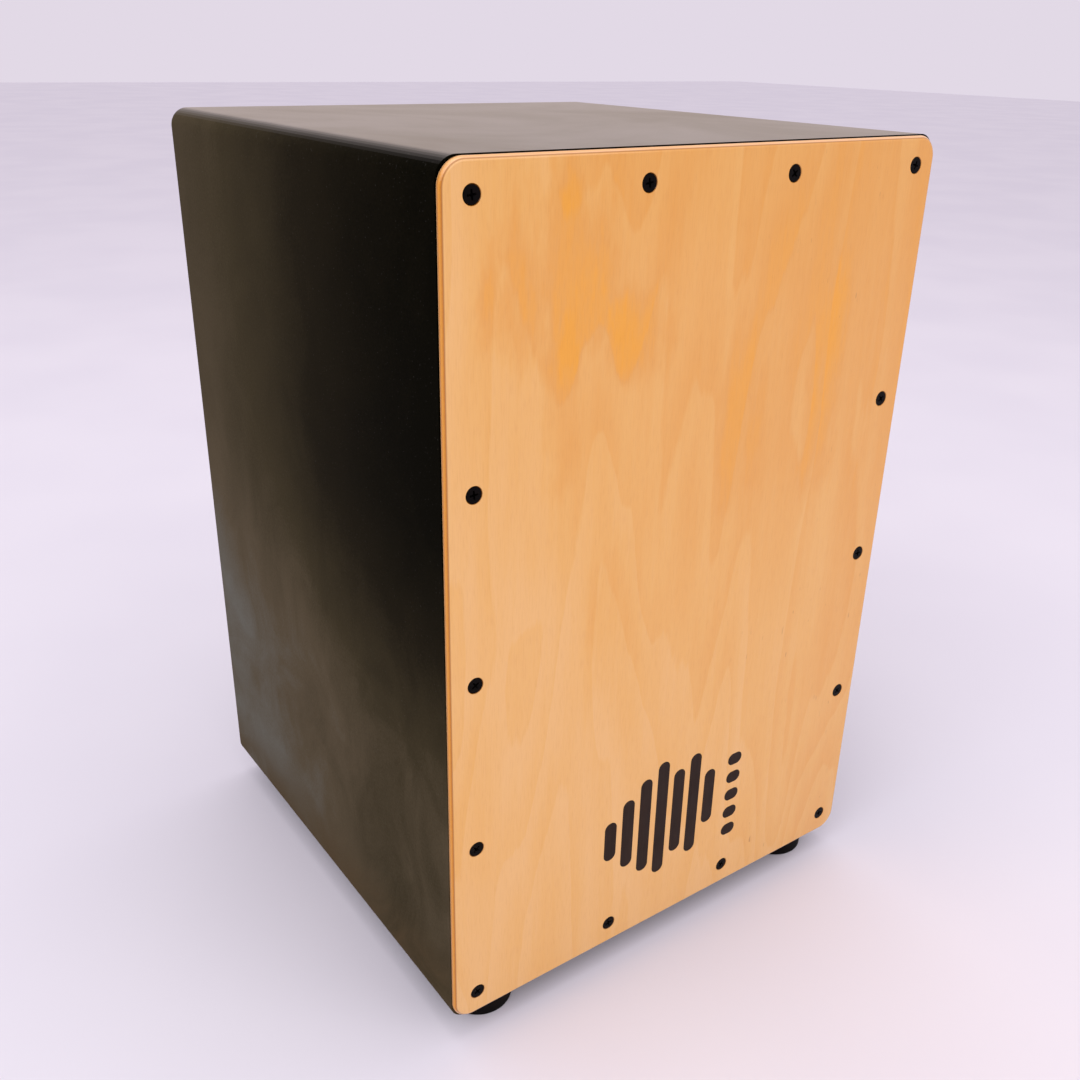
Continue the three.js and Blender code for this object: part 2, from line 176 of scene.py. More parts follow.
def cut(obj, tool_bm):
    """Cuts the tool's shape out of the object's mesh."""
    tool = new_object("cutting_tool", tool_bm, [], weighted=False)
    modifier = obj.modifiers.new("cut", "BOOLEAN")
    modifier.operation = "DIFFERENCE"
    modifier.solver = "EXACT"
    modifier.object = tool
    graph = bpy.context.evaluated_depsgraph_get()
    shading = [m for m in obj.modifiers if m.type == "WEIGHTED_NORMAL"]
    for other in shading:
        other.show_viewport = False
    graph.update()
    result = bpy.data.meshes.new_from_object(obj.evaluated_get(graph))
    old = obj.data
    obj.modifiers.remove(modifier)
    obj.data = result
    result.name = old.name
    for other in shading:
        other.show_viewport = True
    tool_mesh = tool.data
    bpy.data.objects.remove(tool)
    bpy.data.meshes.remove(tool_mesh)
    result.polygons.foreach_set("use_smooth", [True] * len(result.polygons))
    result.set_sharp_from_angle(angle=math.radians(35))
    return obj


def fit(obj, node, body=CASING):
    """The object stands for a CAD node: it joins the node's body and hides the node."""
    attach(obj, body)
    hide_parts(node)
    return obj


# ---- Material building ----


class Nodes:
    """A short way to write a node tree; every call returns an output socket."""

    def __init__(self, name, world=False):
        self.block = (bpy.data.worlds if world else bpy.data.materials).new(name)
        self.block.use_nodes = True
        self.tree = self.block.node_tree
        self.shader = next(n for n in self.tree.nodes if n.type in ("BSDF_PRINCIPLED", "BACKGROUND"))
        self.coords = self.add("ShaderNodeTexCoord").outputs["Generated" if world else "Object"]

    def add(self, kind, **settings):
        node = self.tree.nodes.new(kind)
        for key, value in settings.items():
            setattr(node, key, value)
        return node

    def put(self, socket, value):
        if isinstance(value, bpy.types.NodeSocket):
            self.tree.links.new(value, socket)
        else:
            socket.default_value = value

    def scaled(self, scale, source=None):
        node = self.add("ShaderNodeMapping")
        self.put(node.inputs["Vector"], source or self.coords)
        node.inputs["Scale"].default_value = scale
        return node.outputs[0]

    def noise(self, scale, detail=2.0, roughness=0.5, distortion=0.0, source=None):
        """Noise whose grain is 1/scale metres along each axis."""
        node = self.add("ShaderNodeTexNoise")
        self.put(node.inputs["Vector"], self.scaled(scale, source))
        node.inputs["Scale"].default_value = 1.0
        node.inputs["Detail"].default_value = detail
        node.inputs["Roughness"].default_value = roughness
        node.inputs["Distortion"].default_value = distortion
        return node.outputs[0]

    def math(self, operation, a, b=0.0, c=0.0):
        node = self.add("ShaderNodeMath", operation=operation)
        for socket, value in zip(node.inputs, (a, b, c)):
            self.put(socket, value)
        return node.outputs[0]

    def span(self, value, low, high, out_low=0.0, out_high=1.0):
        """The value's stretch from low to high, eased and brought to the output range."""
        node = self.add("ShaderNodeMapRange", interpolation_type="SMOOTHSTEP")
        for socket, item in zip(node.inputs, (value, low, high, out_low, out_high)):
            self.put(socket, item)
        return node.outputs[0]

    def axis(self, index, source=None):
        node = self.add("ShaderNodeSeparateXYZ")
        self.put(node.inputs[0], source or self.coords)
        return node.outputs[index]

    def mix(self, factor, a, b, blend="MIX"):
        node = self.add("ShaderNodeMix", data_type="RGBA", blend_type=blend)
        self.put(node.inputs[0], factor)
        self.put(node.inputs[6], a)
        self.put(node.inputs[7], b)
        return node.outputs[2]

    def ramp(self, value, stops):
        node = self.add("ShaderNodeValToRGB")
        self.put(node.inputs[0], value)
        band = node.color_ramp
        while len(band.elements) < len(stops):
            band.elements.new(0.5)
        for element, (place, colour) in zip(band.elements, stops):
            element.position = place
            element.color = colour
        return node.outputs[0]

    def bump(self, height, distance, strength=1.0):
        node = self.add("ShaderNodeBump")
        self.put(node.inputs["Height"], height)
        node.inputs["Distance"].default_value = distance
        node.inputs["Strength"].default_value = strength
        return node.outputs[0]

    def finish(self, **sockets):
        for name, value in sockets.items():
            self.put(self.shader.inputs[name.replace("_", " ")], value)
        return self.block


def tone(red, green, blue):
    """A colour socket value from sRGB numbers out of 255."""
    def linear(c):
        c /= 255
        return c / 12.92 if c <= 0.04045 else ((c + 0.055) / 1.055) ** 2.4
    return (linear(red), linear(green), linear(blue), 1.0)


def grey(value):
    return (value, value, value, 1.0)


# ---- Materials ----

# The plate's three plies, as depths behind its face.
FACE_PLY = 0.35 * MM
CORE_BACK = 2.35 * MM
GLUE_LINES = (0.35 * MM, 2.2 * MM)

# Warm patches in the veneer, in mm: middle (x, z), half width and half height, strength.
WARM_PATCHES = (
    (-97, 410, 32, 42, 1.0), (-90, 345, 12, 40, 0.5), (-45, 376, 20, 22, 0.9),
    (24, 322, 16, 50, 0.5), (86, 325, 14, 62, 0.8), (-60, 232, 16, 34, 0.4),
)


def warm_patches(n, ragged):
    """How far each point is inside the warm patches, with ragged edges."""
    total = 0.0
    for x, z, half_w, half_h, strength in WARM_PATCHES:
        across = n.math("MULTIPLY", n.math("SUBTRACT", n.axis(0), x * MM), 1 / (half_w * MM))
        along = n.math("MULTIPLY", n.math("SUBTRACT", n.axis(2), z * MM), 1 / (half_h * MM))
        far = n.math("ADD", n.math("MULTIPLY", across, across), n.math("MULTIPLY", along, along))
        far = n.math("MULTIPLY_ADD", n.math("SUBTRACT", ragged, 0.5), 5.0, far)
        total = n.math("ADD", total, n.span(far, 1.7, -0.3, 0.0, strength))
    return total


def veneer_face(n):
    """Rotary cut maple: faint ragged flames, warmer to the top and right, and dark flecks."""
    x, z = n.axis(0), n.axis(2)
    feather = n.noise((60, 0, 9), 4.0, 0.62)
    shred = n.noise((260, 0, 22), 3.0, 0.6)
    field = n.noise((18, 0, 2.6), 1.6, 0.42, 0.25)
    field = n.math("MULTIPLY_ADD", z, 0.70, field)
    field = n.math("MULTIPLY_ADD", feather, 0.055, field)
    field = n.math("MULTIPLY_ADD", shred, 0.012, field)
    contour = n.math("FRACT", n.math("MULTIPLY", field, 9.0))
    flame = n.ramp(contour, [
        (0.0, grey(0.10)), (0.05, grey(1.0)), (0.40, grey(0.66)), (0.75, grey(0.12)), (1.0, grey(0.0)),
    ])
    drift = n.span(n.noise((13, 0, 3.4), 3.0, 0.6, 0.3), 0.34, 0.68)
    ragged = n.noise((42, 0, 11), 4.0, 0.7)
    silk = n.noise((330, 330, 22), 3.0, 0.65)
    upper_right = n.math("MULTIPLY", n.span(z, 0.10, 0.40), n.span(x, -0.17, -0.04))
    warmth = n.math("MULTIPLY_ADD", flame, 0.19, n.math("MULTIPLY", drift, 0.22))
    warmth = n.math("MULTIPLY_ADD", upper_right, 0.30, warmth)
    warmth = n.math("MULTIPLY_ADD", n.span(x, -0.12, 0.13), 0.20, warmth)
    warmth = n.math("MULTIPLY_ADD", n.math("SUBTRACT", silk, 0.5), 0.26, warmth)
    warmth = n.math("MULTIPLY_ADD", warm_patches(n, ragged), 0.42, warmth)
    face = n.ramp(warmth, [
        (0.05, tone(228, 178, 112)), (0.40, tone(225, 169, 91)),
        (0.70, tone(221, 157, 73)), (1.0, tone(229, 157, 42)),
    ])
    fibres = n.noise((1700, 1700, 120), 2.0, 0.6)
    face = n.mix(n.span(fibres, 0.45, 0.75, 0.0, 0.10), face, tone(190, 126, 70), "MULTIPLY")
    dashes = n.span(n.noise((560, 0, 120), 1.0, 0.4), 0.70, 0.74)
    where = n.span(n.noise((26, 0, 14), 2.0, 0.6), 0.50, 0.66)
    flecks = n.math("MULTIPLY", n.math("MULTIPLY", dashes, where), n.span(x, 0.0, 0.09, 0.10, 1.0))
    height = n.math("MULTIPLY_ADD", fibres, 0.6, n.math("MULTIPLY", silk, 0.4))
    return n.mix(n.math("MULTIPLY", flecks, 0.5), face, tone(150, 90, 44)), height


def veneer_material():
    """Satin lacquered plywood: the figured face, an amber core and a paler rear ply."""
    n = Nodes("maple_veneer")
    face, height = veneer_face(n)
    depth = n.math("SUBTRACT", n.axis(1), FRONT_Y)
    core = n.mix(n.noise((90, 1400, 900), 2.0), tone(206, 134, 16), tone(184, 110, 8))
    from_middle = n.math("ABSOLUTE", n.math("SUBTRACT", n.axis(2), MID_Z))
    half_height = MID_Z - BOX_BOTTOM
    # The core is paler along the top and bottom edges: a painted highlight for the lacquered edge, partly
    # the core ply's long grain.
    long_grain_and_painted_highlight = n.span(from_middle, half_height - 9 * MM, half_height - 3 * MM)
    paler = n.mix(n.noise((60, 900, 90), 2.0), tone(238, 190, 140), tone(226, 172, 118))
    core = n.mix(long_grain_and_painted_highlight, core, paler)
    from_heart = n.math("ABSOLUTE", n.math("SUBTRACT", depth, (FACE_PLY + CORE_BACK) / 2))
    core = n.mix(n.span(from_heart, 0.75 * MM, 0.15 * MM, 0.0, 0.6), core, tone(226, 152, 44))
    rear = n.mix(n.noise((400, 900, 60), 2.0), tone(244, 190, 130), tone(222, 164, 100))
    blur = 0.03 * MM
    board = n.mix(n.span(depth, FACE_PLY - blur, FACE_PLY + blur), face, core)
    board = n.mix(n.span(depth, CORE_BACK - blur, CORE_BACK + blur), board, rear)
    for glue_line in GLUE_LINES:
        gap = n.math("ABSOLUTE", n.math("SUBTRACT", depth, glue_line))
        board = n.mix(n.span(gap, 0.08 * MM, 0.26 * MM, 0.6, 0.0), board, tone(146, 82, 14))
    shine = n.span(n.noise((30, 30, 14), 3.0), 0.3, 0.7, 0.30, 0.42)
    return n.finish(
        Base_Color=board, Roughness=shine, Specular_IOR_Level=0.1,
        Coat_Weight=1.0, Coat_Roughness=0.1, Normal=n.bump(height, 0.00004, 0.5),
    )


def paint_material(sleek):
    """Olive-black paint, from matt (0) to a worn, glossier seat (1) whose lighter base colour is painted
    sheen, with painted sheen that lightens the paint towards the rear and the bottom, most on the left
    side, and smudges.
    """
    n = Nodes(f"black_paint_{round(100 * sleek)}")
    y, z = n.axis(1), n.axis(2)
    smudge = n.noise((8, 7, 6), 5.0, 0.6, 0.6)
    streak = n.noise((45, 12, 7), 3.0, 0.6)
    # Painted sheen: the paint is lighter towards the rear and the bottom, in full on the left side and at
    # 0.45 elsewhere; smudges, mottle, streaks and grain are real marks added to it.
    on_side = n.span(n.axis(0), -INNER_X, -INNER_X - 6 * MM, 0.45, 1.0)
    on_side = n.math("MULTIPLY", on_side, n.span(y, REAR_Y - 0.6 * MM, REAR_Y - 0.1 * MM, 1.0, 0.45))
    rearward = n.math("MULTIPLY", n.span(y, FRONT_Y, REAR_Y), on_side)
    low_down = n.math("MULTIPLY", n.span(z, 0.32, 0.12), on_side)
    weight = n.math("MULTIPLY_ADD", rearward, -0.36, 0.64)
    mottle = n.noise((24, 22, 16), 4.0, 0.62, 0.9)
    painted_sheen_and_smudges = n.math("MULTIPLY_ADD", low_down, weight, n.math("MULTIPLY", rearward, 0.63))
    cloudy = n.math("MULTIPLY_ADD", low_down, 0.32, 0.20)
    painted_sheen_and_smudges = n.math("MULTIPLY_ADD", n.math("SUBTRACT", smudge, 0.5), cloudy, painted_sheen_and_smudges)
    painted_sheen_and_smudges = n.math("MULTIPLY_ADD", n.math("SUBTRACT", mottle, 0.5), n.math("MULTIPLY", cloudy, 0.7), painted_sheen_and_smudges)
    painted_sheen_and_smudges = n.math("MULTIPLY_ADD", n.math("SUBTRACT", streak, 0.5), 0.10, painted_sheen_and_smudges)
    grain = n.noise((620, 620, 620), 3.0, 0.75)
    painted_sheen_and_smudges = n.math("MULTIPLY_ADD", n.math("SUBTRACT", grain, 0.5), 0.20, painted_sheen_and_smudges)
    colour = n.ramp(painted_sheen_and_smudges, [
        (0.0, tone(4, 4, 1)), (0.25, tone(26, 22, 12)), (0.52, tone(55, 48, 32)),
        (0.75, tone(80, 70, 53)), (1.0, tone(96, 95, 87)),
    ])
    near_floor = n.span(z, BOX_BOTTOM + 55 * MM, BOX_BOTTOM + 4 * MM)
    dirt = n.math("MULTIPLY", near_floor, on_side)
    dirt = n.math("MULTIPLY", dirt, n.span(mottle, 0.3, 0.6, 0.25, 0.9))
    colour = n.mix(dirt, colour, tone(76, 62, 42))
    dust = n.span(n.noise((900, 900, 900), 1.0), 0.70, 0.78)
    colour = n.mix(n.math("MULTIPLY", dust, 0.08), colour, tone(150, 145, 138))
    # The seat grades lift the base colour towards grey olive: painted sheen on the top.
    colour = n.mix(min(0.8, 1.6 * sleek), colour, tone(43, 38, 30))
    rough = n.span(smudge, 0.3, 0.75, 0.42 - 0.14 * sleek, 0.52 - 0.14 * sleek)
    stipple = n.noise((1300, 1300, 1300), 2.0, 0.6)
    sanding = n.noise((160, 22, 160), 2.0, 0.5)
    height = n.math("MULTIPLY_ADD", stipple, 0.7, n.math("MULTIPLY", sanding, 0.3))
    return n.finish(
        Base_Color=colour, Roughness=rough, Specular_IOR_Level=0.003 + 0.44 * sleek,
        Sheen_Weight=0.03 + 0.28 * sleek, Sheen_Roughness=0.35, Sheen_Tint=tone(255, 226, 178),
        Normal=n.bump(height, 0.00010, 0.4),
    )


def board_material():
    """The raw brown fibreboard that shows inside the drum."""
    n = Nodes("raw_fibreboard")
    fibre = n.noise((700, 700, 700), 4.0, 0.7)
    cloud = n.noise((12, 12, 12), 3.0)
    colour = n.mix(fibre, tone(176, 138, 98), tone(138, 100, 66))
    colour = n.mix(n.span(cloud, 0.35, 0.7, 0.0, 0.4), colour, tone(120, 88, 60))
    return n.finish(Base_Color=colour, Roughness=n.span(cloud, 0.3, 0.7, 0.8, 0.92),
                    Normal=n.bump(fibre, 0.0002, 0.5))


def pine_material(name, along):
    """Sanded softwood with growth rings and its grain along one axis."""
    n = Nodes(name)
    slow, fast = 2.5, 70.0
    scale = tuple(slow if axis == along else fast for axis in range(3))
    rings = n.noise(scale, 2.0, 0.5, 0.4)
    bands = n.math("PINGPONG", n.math("MULTIPLY", rings, 5.0), 0.5)
    fine = n.noise(tuple(20 if axis == along else 900 for axis in range(3)), 3.0, 0.6)
    colour = n.ramp(n.math("MULTIPLY", bands, 2.0), [
        (0.0, tone(216, 176, 122)), (0.6, tone(204, 158, 98)), (1.0, tone(170, 112, 58)),
    ])
    colour = n.mix(n.span(fine, 0.4, 0.75, 0.0, 0.3), colour, tone(150, 104, 60))
    return n.finish(Base_Color=colour, Roughness=n.span(fine, 0.3, 0.7, 0.6, 0.78),
                    Normal=n.bump(fine, 0.00015, 0.5))


def metal_material(name, light, dark, rough_low, rough_high, metallic=1.0, specular=0.5):
    """Metal with fine turning marks and a little tarnish."""
    n = Nodes(name)
    tarnish = n.noise((260, 260, 260), 4.0, 0.6)
    marks = n.noise((500, 500, 6000), 2.0)
    colour = n.mix(n.span(tarnish, 0.35, 0.7), tone(*light), tone(*dark))
    rough = n.span(tarnish, 0.3, 0.7, rough_low, rough_high)
    return n.finish(Base_Color=colour, Metallic=metallic, Roughness=rough,
                    Specular_IOR_Level=specular, Normal=n.bump(marks, 0.00003, 0.4))


def rubber_material():
    """Dull rubber with dust in its grain."""
    n = Nodes("black_rubber")
    grain = n.noise((1600, 1600, 1600), 3.0, 0.7)
    dust = n.noise((60, 60, 90), 4.0, 0.6)
    colour = n.mix(n.span(dust, 0.45, 0.75, 0.0, 0.5), tone(9, 6, 5), tone(30, 23, 18))
    return n.finish(Base_Color=colour, Roughness=n.span(dust, 0.3, 0.7, 0.55, 0.75),
                    Specular_IOR_Level=0.06, Normal=n.bump(grain, 0.00012, 0.5))


def felt_material():
    """Matted grey fibres."""
    n = Nodes("grey_felt")
    fluff = n.noise((2500, 2500, 2500), 5.0, 0.8)
    colour = n.mix(fluff, tone(150, 148, 144), tone(92, 91, 90))
    return n.finish(Base_Color=colour, Roughness=n.span(fluff, 0.2, 0.8, 0.9, 1.0),
                    Sheen_Weight=0.4, Normal=n.bump(fluff, 0.0004, 0.8))


def ink_material():
    """Dark brown screen print that lets a little of the grain through."""
    n = Nodes("dark_print")
    fibres = n.noise((1500, 1500, 26), 3.0, 0.65)
    patch = n.noise((90, 90, 60), 3.0)
    colour = n.mix(n.span(fibres, 0.4, 0.75, 0.0, 0.5), tone(34, 20, 12), tone(52, 32, 20))
    return n.finish(Base_Color=colour, Roughness=n.span(patch, 0.3, 0.7, 0.48, 0.6),
                    Specular_IOR_Level=0.15, Normal=n.bump(fibres, 0.00004, 0.5))


def wire_material():
    """Wound string steel: the windings run round the wire."""
    n = Nodes("wound_steel")
    winding = 0.4 * MM
    wave = n.math("SINE", n.math("MULTIPLY", n.axis(2), 2 * math.pi / winding))
    tarnish = n.noise((300, 300, 40), 3.0)
    colour = n.mix(n.span(tarnish, 0.4, 0.7), tone(205, 203, 196), tone(160, 150, 132))
    return n.finish(Base_Color=colour, Metallic=1.0, Roughness=n.span(tarnish, 0.3, 0.7, 0.2, 0.35),
                    Normal=n.bump(wave, 0.00006, 0.8))


veneer = veneer_material()
SEAT_GRADES = 5  # steps from the matt paint to the sleek paint of the seat
paints = [paint_material((grade / SEAT_GRADES) ** 2) for grade in range(SEAT_GRADES + 1)]
paint = paints[0]
fibreboard = board_material()
pine_across = pine_material("pine_across", 0)
pine_upright = pine_material("pine_upright", 2)
black_steel = metal_material("black_steel", (13, 9, 8), (6, 5, 5), 0.36, 0.5, 0.4, 0.05)
bright_steel = metal_material("zinc_steel", (205, 206, 208), (168, 168, 166), 0.22, 0.4)
brass = metal_material("sawn_brass", (214, 172, 92), (168, 122, 58), 0.25, 0.42)
rubber = rubber_material()
felt = felt_material()
ink = ink_material()
wire = wire_material()


# ---- The playing plate ----

PLATE_EDGE_R = 2.2 * MM
PLATE_CORNER_R = 11.5 * MM
BACK_EASE = 0.25 * MM
CORNER_STEPS = 20
EDGE_STEPS = 10


def plate_loop(inset, y):
    """The playing plate's outline at one depth."""
    half_w, half_h = plate_high.x - inset, (plate_high.z - plate_low.z) / 2 - inset
    outline = rounded_rect(half_w, half_h, PLATE_CORNER_R - inset, CORNER_STEPS)
    return [(x, y, MID_Z + z) for x, z in outline]


def screw_outline(head_r, rim, cone_h, shank_r, length):
    """A countersunk screw's (radius, height) pairs from its tip to its head at z = 0."""
    thread_start = -rim - cone_h
    return [
        (0.25 * shank_r, -length), (shank_r, 2 * shank_r - length), (shank_r, thread_start),
        (head_r, -rim), (head_r, -0.12 * MM), (head_r - 0.08 * MM, -0.03 * MM),
        (head_r - 0.25 * MM, 0.0),
    ]


screw_low, screw_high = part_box(PLATE_SCREWS[0])
SCREW_SINK = screw_low.y - FRONT_Y
SCREW_HEAD_R = (screw_high.x - screw_low.x) / 2
SCREW_LENGTH = screw_high.y - screw_low.y
SHANK_R = 1.75 * MM
GAP = 0.3 * MM  # clearance round a screw or a bush
SEAT_CONE = 2.6 * MM
SEAT_EASE = 0.14 * MM
FACE_FRONT = Matrix.Rotation(math.pi / 2, 4, "X")


def screw_seat(node):
    """The countersunk hole in the plate for one screw."""
    at = middle(node)
    bore, mouth = SHANK_R + GAP, SCREW_HEAD_R + GAP
    profile = [
        (bore, -2 * PLATE_T), (bore, -SEAT_CONE), (mouth, -0.1 * MM), (mouth, SCREW_SINK - 0.12 * MM),
        (mouth + SEAT_EASE, SCREW_SINK + 0.02 * MM), (mouth + SEAT_EASE, 2 * MM),
    ]
    spot = Matrix.Translation((at.x, FRONT_Y + SCREW_SINK, at.z))
    return placed(turned(profile, 40), spot @ FACE_FRONT)


def playing_plate():
    """The front board, with its rounded front edge, eased back edge and screw seats."""
    edge = arc((0.0, 0.0), PLATE_EDGE_R, 0, 90, EDGE_STEPS)
    levels = [(BACK_EASE, PLATE_BACK_Y), (0.0, PLATE_BACK_Y - BACK_EASE)]
    levels += [(PLATE_EDGE_R - out, FRONT_Y + PLATE_EDGE_R - up) for out, up in edge]
    board = new_object("playing_plate", loft([plate_loop(*level) for level in levels]), [veneer])
    return cut(board, merged([screw_seat(node) for node in PLATE_SCREWS]))


fit(playing_plate(), "front_plate")


# ---- Screws with a cross recess ----


def cross_loop(reach, half_width, height, corner):
    """A plus-shaped loop with its inner corners eased."""
    r, w, c = reach, half_width, half_width + corner
    quarter = [(r, -w), (r, w), (c, w), (w, c)]
    loop = []
    for k in range(4):
        turn = Matrix.Rotation(k * math.pi / 2, 2)
        loop += [turn @ Vector(point) for point in quarter]
    return [(p.x, p.y, height) for p in loop]


def cross_recess(width):
    """The cutter for a cross recess: (height, reach, half width) down its tapering wings."""
    levels = [(0.5 * MM, 1.0, 0.115), (0.0, 1.0, 0.105), (-1.0 * MM, 0.74, 0.085),
              (-1.9 * MM, 0.4, 0.06), (-2.2 * MM, 0.2, 0.04)]
    return loft([cross_loop(width / 2 * part, width * half, z, width * 0.06) for z, part, half in levels])


def screw_mesh(name, profile, drive_width):
    screw = new_object(name, turned(profile, 48), [black_steel], sharp_degrees=30)
    return cut(screw, cross_recess(drive_width))


def copy_of(template, name, matrix):
    twin = template.copy()
    twin.data = template.data.copy()
    twin.name = name
    twin.matrix_world = matrix
    bpy.context.scene.collection.objects.link(twin)
    return twin


def place_screws(template, nodes, turn_to, head_of):
    """Puts a copy of the template at each node, each turned by chance about its own axis."""
    for node in nodes:
        spin = Matrix.Rotation(rng.uniform(0, math.pi / 2), 4, "Z")
        spot = Matrix.Translation(head_of(node))
        screw = copy_of(template, node + "_fine", spot @ turn_to @ spin)
        fit(screw, node)
    mesh = template.data
    bpy.data.objects.remove(template)
    bpy.data.meshes.remove(mesh)


plate_profile = screw_outline(SCREW_HEAD_R, 0.3 * MM, 2.3 * MM, SHANK_R, SCREW_LENGTH)
place_screws(
    screw_mesh("plate_screw_template", plate_profile, 4.4 * MM),
    PLATE_SCREWS, FACE_FRONT,
    lambda node: (middle(node).x, FRONT_Y + SCREW_SINK, middle(node).z),
)


# ---- The casing ----

CASING_EDGE = 0.18 * MM
CASING_EDGE_STEPS = 5


def end_insets():
    """(inset, y) along a casing wall, front to rear: eased ends and a ring at the back panel."""
    ease = arc((0.0, 0.0), CASING_EDGE, 90, 0, CASING_EDGE_STEPS)
    front = [(CASING_EDGE - out, PLATE_BACK_Y + CASING_EDGE - up) for out, up in ease]
    rear = [(CASING_EDGE - out, REAR_Y - CASING_EDGE + up) for out, up in reversed(ease)]
    return [*front, (0.0, back_low.y), *rear]


def lid_loop(inset, y, flip):
    """The section of the top or bottom wall: an arc at each outer corner."""
    radius = CORNER_R - inset
    centre = HALF_W - CORNER_R
    right = arc((centre, 0.0), radius, 0, 90, CORNER_STEPS)
    left = arc((-centre, 0.0), radius, 90, 180, CORNER_STEPS)
    inner = INNER_TOP if flip > 0 else INNER_BOTTOM
    return [(x, y, inner + flip * z) for x, z in right + left]


def lid_wall(name, flip):
    bm = loft([lid_loop(inset, y, flip) for inset, y in end_insets()])
    return new_object(name, bm, [paint, fibreboard])


def side_wall(name, sign):
    loops = []
    for inset, y in end_insets():
        outer, inner = sign * (HALF_W - inset), sign * INNER_X
        corners = [(inner, INNER_BOTTOM), (outer, INNER_BOTTOM), (outer, INNER_TOP), (inner, INNER_TOP)]
        loops.append([(x, y, z) for x, z in corners])
    return new_object(name, loft(loops), [paint, fibreboard])


def seat_gloss_and_painted_sheen(obj):
    """Gives the top's faces sleeker paint the more they face upwards: glossier, and with a lighter base
    colour that is painted sheen.
    """
    for grade in paints[1:]:
        obj.data.materials.append(grade)
    for face in obj.data.polygons:
        share = max(0.0, 2 * face.normal.z - 1)
        step = round(SEAT_GRADES * share ** 2.0)
        if step:
            face.material_index = 1 + step


def show_board_inside(obj):
    """Gives the faces that look into the drum, in front of the back panel, the raw board."""
    centre = Vector((0.0, 0.0, MID_Z))
    hollow = Vector((INNER_X, back_low.y, INNER_TOP - MID_Z)) + Vector((1, 1, 1)) * 0.01 * MM
    for face in obj.data.polygons:
        offset = face.center - centre
        within = all(abs(offset[i]) <= hollow[i] for i in range(3))
        if within and face.normal.dot(offset) < 0:
            face.material_index = 1


def hole(node, radius, low, high, segments=40):
    """The cutter for an upright hole at a node's middle."""
    return placed(turned([(radius, low), (radius, high)], segments), over(node))


FOOT_SCREW_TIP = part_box("foot_screw_front_left")[1].z
FOOT_SCREW_R = 1.9 * MM
BUSH_SLEEVE_R = 4.5 * MM
BOLT_R = 3.0 * MM


def casing():
    """The four painted walls, with the holes in the bottom one."""
    walls = {
        "top_panel": lid_wall("top_wall", 1), "bottom_panel": lid_wall("bottom_wall", -1),
        "left_side_panel": side_wall("left_wall", -1), "right_side_panel": side_wall("right_wall", 1),
    }
    foot_holes = [
        hole(f"foot_{c}", FOOT_SCREW_R + GAP, BOX_BOTTOM - MM, FOOT_SCREW_TIP + GAP) for c in FEET
    ]
    bolt_holes = [
        hole(f"tuning_bolt_{s}", BUSH_SLEEVE_R + GAP, BOX_BOTTOM - MM, INNER_BOTTOM + MM)
        for s in ("left", "right")
    ]
    cut(walls["bottom_panel"], merged(foot_holes + bolt_holes))
    seat_gloss_and_painted_sheen(walls["top_panel"])
    for node, wall in walls.items():
        show_board_inside(wall)
        fit(wall, node)


casing()


def back_board():
    """The back panel: a board with an eased outline."""
    half_w, half_h = back_high.x, (back_high.z - back_low.z) / 2
    mid_z = (back_low.z + back_high.z) / 2
    ease, corner_r = 0.5 * MM, 1.2 * MM
    levels = [(ease, back_low.y), (0.0, back_low.y + ease), (0.0, back_high.y - ease), (ease, back_high.y)]
    loops = [
        [(x, y, mid_z + z) for x, z in rounded_rect(half_w - i, half_h - i, corner_r - i, 4)]
        for i, y in levels
    ]
    return new_object("back_board", loft(loops), [paint, fibreboard])


PORT_R = 60 * MM
PORT_EASE = 1.6 * MM


def port_tool():
    """The sound hole's cutter, with a round-over where it meets each face."""
    opening = next(o for o in frame["record"]["physics"]["openings"] if o["name"] == "sound_hole")
    low, high = opening["box_m"]
    centre = ((low[0] + high[0]) / 2, (back_low.y + back_high.y) / 2, (low[2] + high[2]) / 2)
    thick, wide = back_high.y - back_low.y, PORT_R + PORT_EASE
    lip = arc((wide, thick / 2 - PORT_EASE), PORT_EASE, 180, 90, 8)
    profile = [(wide, -thick), *((r, -z) for r, z in reversed(lip)), *lip, (wide, thick)]
    return placed(turned(profile, 128), Matrix.Translation(centre) @ FACE_FRONT)


back = cut(back_board(), port_tool())
for face in back.data.polygons:  # its inner face is raw board
    if face.center.y < back_low.y + 0.1 * MM:
        face.material_index = 1
fit(back, "back_panel")


# ---- Feet ----


WASHER_R = 7 * MM
FOOT_BORE_R = 2.4 * MM


def foot_profile():
    """A tapered foot with a rounded tread, a groove, and a pocket for its screw."""
    low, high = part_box("foot_front_left")
    top_r, height = (high.x - low.x) / 2, high.z
    bottom_r, ease = top_r - 1.0 * MM, 2.0 * MM
    pocket_r, pocket_h = WASHER_R + 1.0 * MM, 8 * MM
    tread = arc((bottom_r - ease, ease), ease, -90, 0, 8)
    shoulder = arc((top_r - 1.2 * MM, height - 1.2 * MM), 1.2 * MM, 0, 90, 6)
    lip = arc((pocket_r + 0.8 * MM, 0.8 * MM), 0.8 * MM, 180, 270, 5)
    groove = [(top_r - 0.5 * MM, height - 4.2 * MM), (top_r - 0.9 * MM, height - 3.9 * MM),
              (top_r - 0.9 * MM, height - 3.5 * MM), (top_r - 0.25 * MM, height - 3.2 * MM)]
    inner = [(FOOT_BORE_R, height), (FOOT_BORE_R, pocket_h), (pocket_r, pocket_h)]
    return lip + tread + groove + shoulder + inner


def ring_profile(inner_r, outer_r, low, high, ease):
    """A flat ring's section, with its four corners eased."""
    return [(inner_r, low + ease), (inner_r + ease, low), (outer_r - ease, low), (outer_r, low + ease),
            (outer_r, high - ease), (outer_r - ease, high), (inner_r + ease, high), (inner_r, high - ease)]


